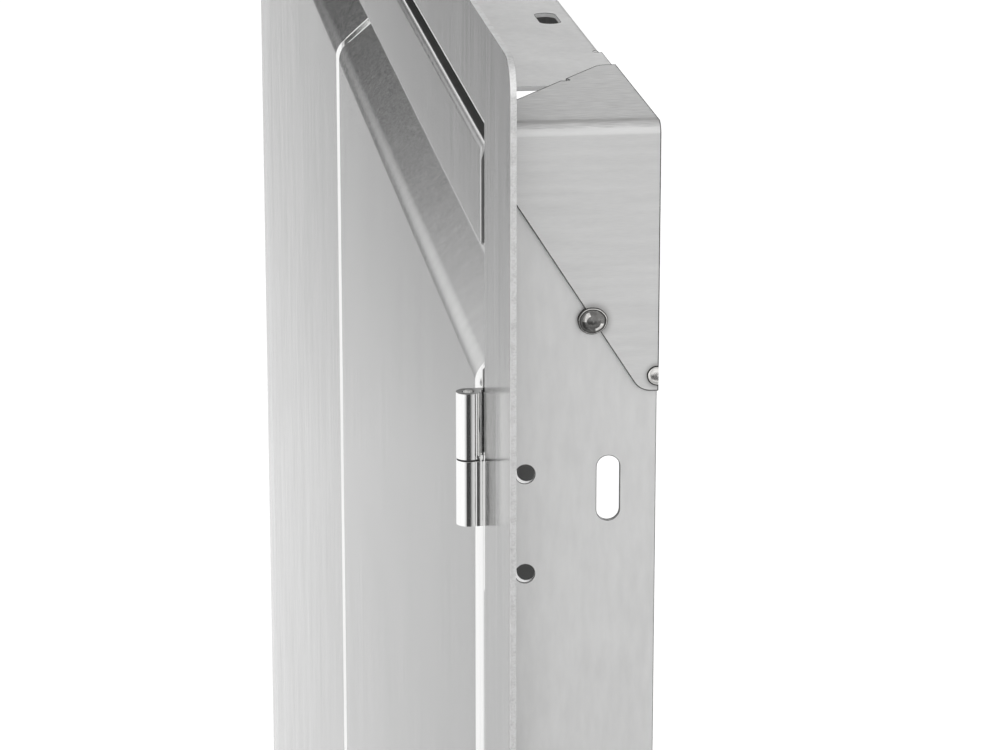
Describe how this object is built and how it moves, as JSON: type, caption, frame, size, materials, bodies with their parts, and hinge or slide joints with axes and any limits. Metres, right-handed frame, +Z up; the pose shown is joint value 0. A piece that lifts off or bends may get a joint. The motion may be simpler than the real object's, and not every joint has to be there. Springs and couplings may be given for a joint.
{
  "type": "outdoor kitchen access door",
  "caption": "Built-in stainless access doors for an outdoor kitchen island: flanged frame, outward swinging folded doors with finger recesses, and lift-off barrel hinges.",
  "frame": {"origin": "centre of the wall cut-out, in the plane of the face flange's back", "axes": "+Z up, -Y out of the wall towards the user, +X to the user's right"},
  "size_m": [1.016, 0.0482, 0.711],
  "materials": {
    "brushed_face": "brushed",
    "plain_sheet": "satin",
    "brushed_bracket": "brushed",
    "weld": "heat tinted",
    "polished_hinge": "polished",
    "screw_steel": "satin",
    "magnet_housing": "matte",
    "rubber": "matte"
  },
  "bodies": {
    "frame": {"face_flange": "brushed_face", "wall_right": "plain_sheet", "wall_left": "plain_sheet", "wall_top": "plain_sheet", "wall_bottom": "plain_sheet", "corner_bracket_top_right": "brushed_bracket", "corner_bracket_top_left": "brushed_bracket", "corner_bracket_bottom_right": "brushed_bracket", "corner_bracket_bottom_left": "brushed_bracket", "corner_welds": "weld", "frame_hinge_leaf_top_right": "polished_hinge", "frame_hinge_leaf_bottom_right": "polished_hinge", "frame_hinge_leaf_top_left": "polished_hinge", "frame_hinge_leaf_bottom_left": "polished_hinge", "hinge_pins_right": "screw_steel", "hinge_pins_left": "screw_steel", "hinge_washers": "screw_steel", "frame_hinge_screws": "screw_steel", "catch_bracket": "plain_sheet", "catch_magnets": "magnet_housing", "catch_pole_plates": "screw_steel", "stop_bracket": "plain_sheet", "rubber_buffers": "rubber", "bracket_screws": "screw_steel"},
    "right_leaf": {"door_skin_right": "brushed_face", "handle_pan_right": "brushed_face", "door_stiffener_right": "plain_sheet", "door_hinge_leaf_top_right": "polished_hinge", "door_hinge_leaf_bottom_right": "polished_hinge", "door_hinge_screws_right": "screw_steel", "striker_right": "screw_steel", "striker_rivets_right": "screw_steel"},
    "left_leaf": {"door_skin_left": "brushed_face", "handle_pan_left": "brushed_face", "door_stiffener_left": "plain_sheet", "door_hinge_leaf_top_left": "polished_hinge", "door_hinge_leaf_bottom_left": "polished_hinge", "door_hinge_screws_left": "screw_steel", "striker_left": "screw_steel", "striker_rivets_left": "screw_steel"}
  },
  "joints": [
    {"name": "right_leaf_swing", "type": "hinge", "parent": "frame", "child": "right_leaf", "pos_m": [0.45015, -0.0052, 0], "axis": [0, 0, 1], "range_deg": [0, 180]},
    {"name": "left_leaf_swing", "type": "hinge", "parent": "frame", "child": "left_leaf", "pos_m": [-0.45015, -0.0052, 0], "axis": [0, 0, -1], "range_deg": [0, 180]}
  ]
}
